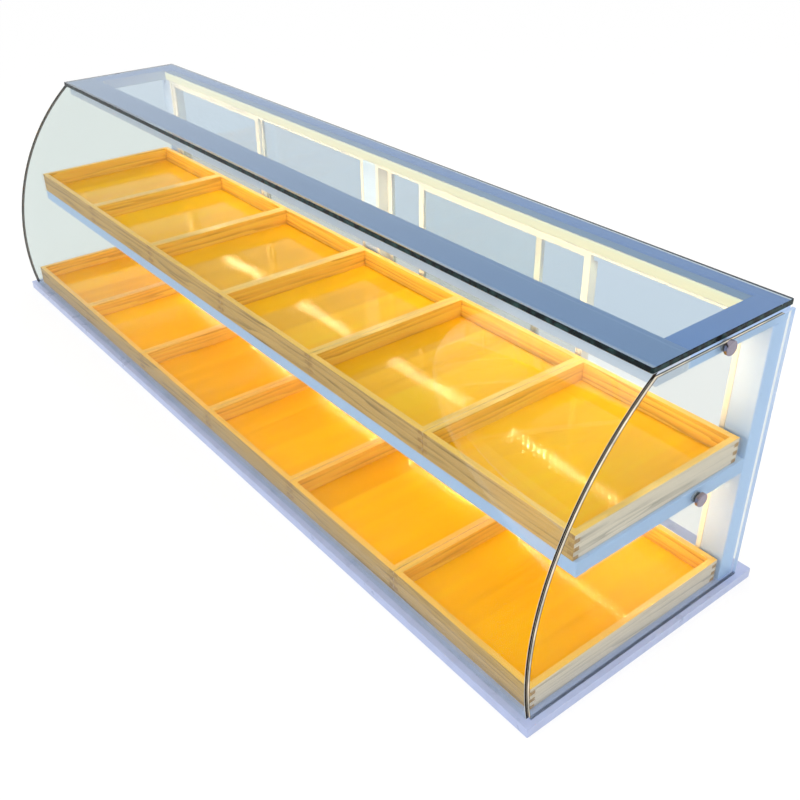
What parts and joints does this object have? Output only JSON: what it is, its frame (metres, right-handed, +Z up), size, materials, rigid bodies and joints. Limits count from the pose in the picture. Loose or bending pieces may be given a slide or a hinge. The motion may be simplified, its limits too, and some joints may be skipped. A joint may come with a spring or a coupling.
{
  "type": "bread display rack",
  "caption": "Counter-top bread display cabinet with a bent glass front, a middle shelf, loose wooden trays, light strips and sliding glass doors at the back.",
  "frame": {"origin": "centre of the underside of the base board", "axes": "+X along the cabinet towards its right end seen from the customer's side, -Y towards the customer and the bent glass, +Y towards the sliding doors, +Z up"},
  "size_m": [2.2, 0.6, 0.6],
  "materials": {
    "white_paint": "satin",
    "base_paint": "satin",
    "clear_glass": "polished",
    "tinted_glass": "polished",
    "chrome": "polished",
    "clear_plastic": "satin",
    "white_aluminium": "satin",
    "pine": "satin",
    "amber_varnish": "gloss",
    "milky_cover": "satin"
  },
  "bodies": {
    "frame": {"base_board": "base_paint", "bent_front_glass": "clear_glass", "side_glass_left": "clear_glass", "side_glass_right": "clear_glass", "top_glass": "tinted_glass", "glass_studs": "chrome", "stud_spacers": "clear_plastic", "rear_post_left": "white_paint", "rear_post_centre": "white_paint", "rear_post_right": "white_paint", "top_front_rail": "white_paint", "top_rear_rail": "white_paint", "top_side_rail_left": "white_paint", "top_side_rail_right": "white_paint", "shelf_front_rail": "white_paint", "shelf_rear_rail": "white_paint", "shelf_side_rail_left": "white_paint", "shelf_side_rail_right": "white_paint", "shelf_cross_bar_left": "white_paint", "shelf_cross_bar_centre": "white_paint", "shelf_cross_bar_right": "white_paint", "top_light_channel": "white_aluminium", "shelf_light_channel": "white_aluminium", "door_track_bottom": "white_aluminium", "door_track_top": "white_aluminium", "door_jambs": "white_aluminium", "top_light_cover": "milky_cover", "shelf_light_cover": "milky_cover"},
    "door_1": {"door_1_frame": "white_aluminium", "door_1_pane": "clear_glass"},
    "door_2": {"door_2_frame": "white_aluminium", "door_2_pane": "clear_glass"},
    "door_3": {"door_3_frame": "white_aluminium", "door_3_pane": "clear_glass"},
    "door_4": {"door_4_frame": "white_aluminium", "door_4_pane": "clear_glass"},
    "tray_upper_1": {"tray_upper_1_boards": "pine", "tray_upper_1_floor": "amber_varnish"},
    "tray_upper_2": {"tray_upper_2_boards": "pine", "tray_upper_2_floor": "amber_varnish"},
    "tray_upper_3": {"tray_upper_3_boards": "pine", "tray_upper_3_floor": "amber_varnish"},
    "tray_upper_4": {"tray_upper_4_boards": "pine", "tray_upper_4_floor": "amber_varnish"},
    "tray_upper_5": {"tray_upper_5_boards": "pine", "tray_upper_5_floor": "amber_varnish"},
    "tray_upper_6": {"tray_upper_6_boards": "pine", "tray_upper_6_floor": "amber_varnish"},
    "tray_lower_1": {"tray_lower_1_boards": "pine", "tray_lower_1_floor": "amber_varnish"},
    "tray_lower_2": {"tray_lower_2_boards": "pine", "tray_lower_2_floor": "amber_varnish"},
    "tray_lower_3": {"tray_lower_3_boards": "pine", "tray_lower_3_floor": "amber_varnish"},
    "tray_lower_4": {"tray_lower_4_boards": "pine", "tray_lower_4_floor": "amber_varnish"},
    "tray_lower_5": {"tray_lower_5_boards": "pine", "tray_lower_5_floor": "amber_varnish"},
    "tray_lower_6": {"tray_lower_6_boards": "pine", "tray_lower_6_floor": "amber_varnish"}
  },
  "joints": [
    {"name": "door_1_slide", "type": "slide", "parent": "frame", "child": "door_1", "axis": [1, 0, 0], "range_m": [0, 0.474]},
    {"name": "door_2_slide", "type": "slide", "parent": "frame", "child": "door_2", "axis": [1, 0, 0], "range_m": [-0.474, 0]},
    {"name": "door_3_slide", "type": "slide", "parent": "frame", "child": "door_3", "axis": [1, 0, 0], "range_m": [0, 0.474]},
    {"name": "door_4_slide", "type": "slide", "parent": "frame", "child": "door_4", "axis": [1, 0, 0], "range_m": [-0.148, 0.326]},
    {"name": "tray_upper_1_lift", "type": "slide", "parent": "frame", "child": "tray_upper_1", "axis": [0, 0, 1], "range_m": [0, 0.06]},
    {"name": "tray_upper_2_lift", "type": "slide", "parent": "frame", "child": "tray_upper_2", "axis": [0, 0, 1], "range_m": [0, 0.06]},
    {"name": "tray_upper_3_lift", "type": "slide", "parent": "frame", "child": "tray_upper_3", "axis": [0, 0, 1], "range_m": [0, 0.06]},
    {"name": "tray_upper_4_lift", "type": "slide", "parent": "frame", "child": "tray_upper_4", "axis": [0, 0, 1], "range_m": [0, 0.06]},
    {"name": "tray_upper_5_lift", "type": "slide", "parent": "frame", "child": "tray_upper_5", "axis": [0, 0, 1], "range_m": [0, 0.06]},
    {"name": "tray_upper_6_lift", "type": "slide", "parent": "frame", "child": "tray_upper_6", "axis": [0, 0, 1], "range_m": [0, 0.06]},
    {"name": "tray_lower_1_lift", "type": "slide", "parent": "frame", "child": "tray_lower_1", "axis": [0, 0, 1], "range_m": [0, 0.1]},
    {"name": "tray_lower_2_lift", "type": "slide", "parent": "frame", "child": "tray_lower_2", "axis": [0, 0, 1], "range_m": [0, 0.1]},
    {"name": "tray_lower_3_lift", "type": "slide", "parent": "frame", "child": "tray_lower_3", "axis": [0, 0, 1], "range_m": [0, 0.1]},
    {"name": "tray_lower_4_lift", "type": "slide", "parent": "frame", "child": "tray_lower_4", "axis": [0, 0, 1], "range_m": [0, 0.1]},
    {"name": "tray_lower_5_lift", "type": "slide", "parent": "frame", "child": "tray_lower_5", "axis": [0, 0, 1], "range_m": [0, 0.1]},
    {"name": "tray_lower_6_lift", "type": "slide", "parent": "frame", "child": "tray_lower_6", "axis": [0, 0, 1], "range_m": [0, 0.1]}
  ]
}
